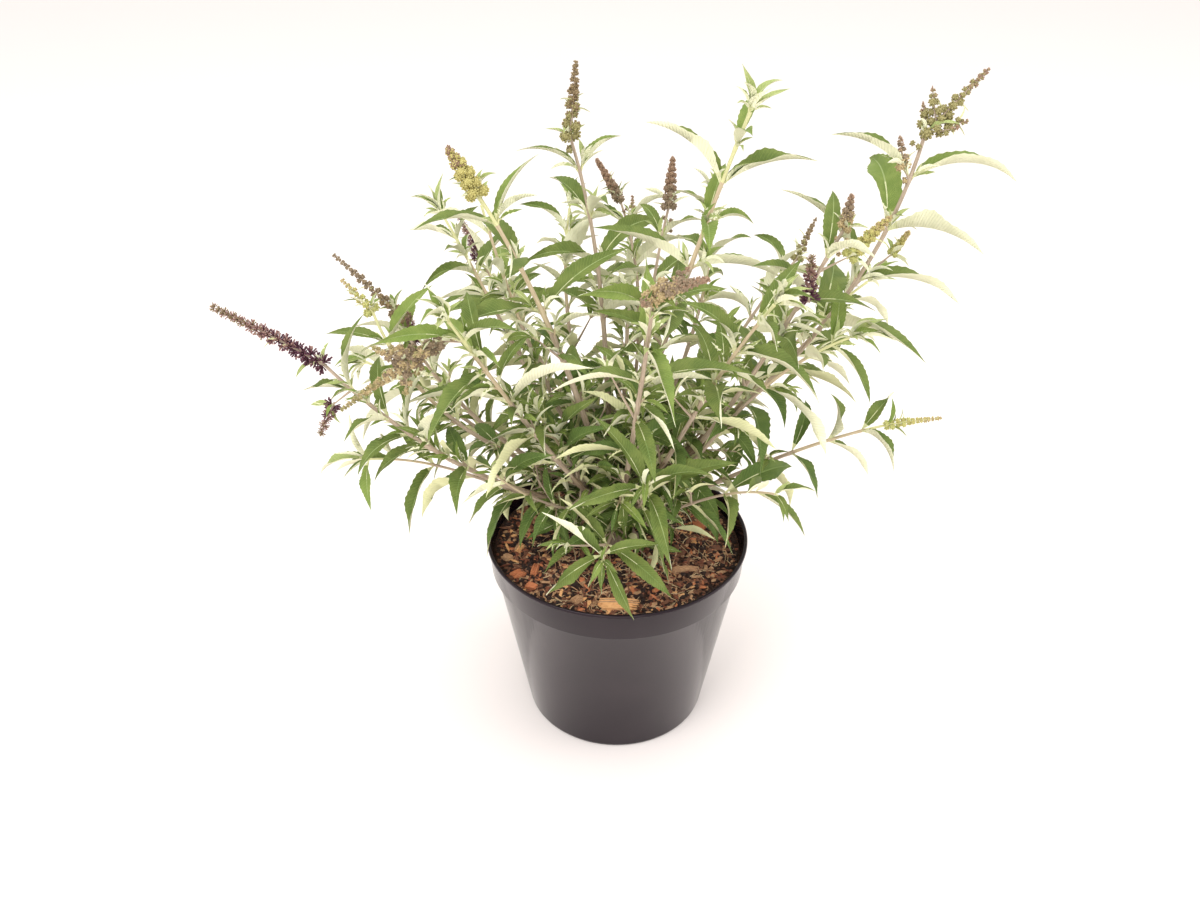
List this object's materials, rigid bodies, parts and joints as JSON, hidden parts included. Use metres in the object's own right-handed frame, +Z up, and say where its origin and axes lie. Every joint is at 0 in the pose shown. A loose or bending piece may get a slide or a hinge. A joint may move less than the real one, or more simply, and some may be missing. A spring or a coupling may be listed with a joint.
{
  "type": "potted butterfly bush",
  "caption": "Young flowering garden shrub with arching leafy shoots and slender flower spikes, growing in a round black nursery pot.",
  "frame": {"origin": "centre of the pot's flat underside", "axes": "+Z up along the pot's axis; the picture looks along +Y, from above, with +X to its right"},
  "size_m": [0.4869, 0.3922, 0.4834],
  "materials": {
    "pot": "smooth moulded black plastic with a soft gloss",
    "compost": "dark, moist, fibrous compost with bark chips",
    "bark": "thin brown bark, finely ridged",
    "foliage": "soft matt green leaves, pale and felted underneath"
  },
  "bodies": {
    "root": {"compost": "compost", "foliage_back_left": "foliage", "foliage_back_low": "foliage", "foliage_back_low_left": "foliage", "foliage_back_low_right": "foliage", "foliage_back_mid": "foliage", "foliage_back_right": "foliage", "foliage_centre": "foliage", "foliage_centre_left": "foliage", "foliage_centre_right": "foliage", "foliage_front_fan": "foliage", "foliage_front_star": "foliage", "foliage_front_tall": "foliage", "foliage_left_back": "foliage", "foliage_left_brown": "foliage", "foliage_left_green": "foliage", "foliage_left_high": "foliage", "foliage_left_leafy": "foliage", "foliage_left_long": "foliage", "foliage_left_low": "foliage", "foliage_left_rear": "foliage", "foliage_left_slim": "foliage", "foliage_left_small": "foliage", "foliage_rear_bud": "foliage", "foliage_rear_leafy": "foliage", "foliage_rear_slim": "foliage", "foliage_right_back": "foliage", "foliage_right_heads": "foliage", "foliage_right_long": "foliage", "foliage_right_low": "foliage", "foliage_right_near": "foliage", "foliage_right_rear": "foliage", "foliage_right_skirt": "foliage", "foliage_right_star": "foliage", "foliage_right_tall": "foliage", "foliage_tall_rear": "foliage", "limb_back_left": "bark", "limb_back_mid": "bark", "limb_back_right": "bark", "limb_front_tall": "bark", "limb_left_back": "bark", "limb_left_brown": "bark", "limb_left_green": "bark", "limb_left_high": "bark", "limb_left_leafy": "bark", "limb_left_long": "bark", "limb_left_rear": "bark", "limb_rear_bud": "bark", "limb_rear_leafy": "bark", "limb_rear_slim": "bark", "limb_right_back": "bark", "limb_right_heads": "bark", "limb_right_long": "bark", "limb_right_low": "bark", "limb_right_near": "bark", "limb_right_rear": "bark", "limb_right_tall": "bark", "limb_tall_rear": "bark", "pot": "pot", "trunk": "bark"}
  },
  "joints": []
}
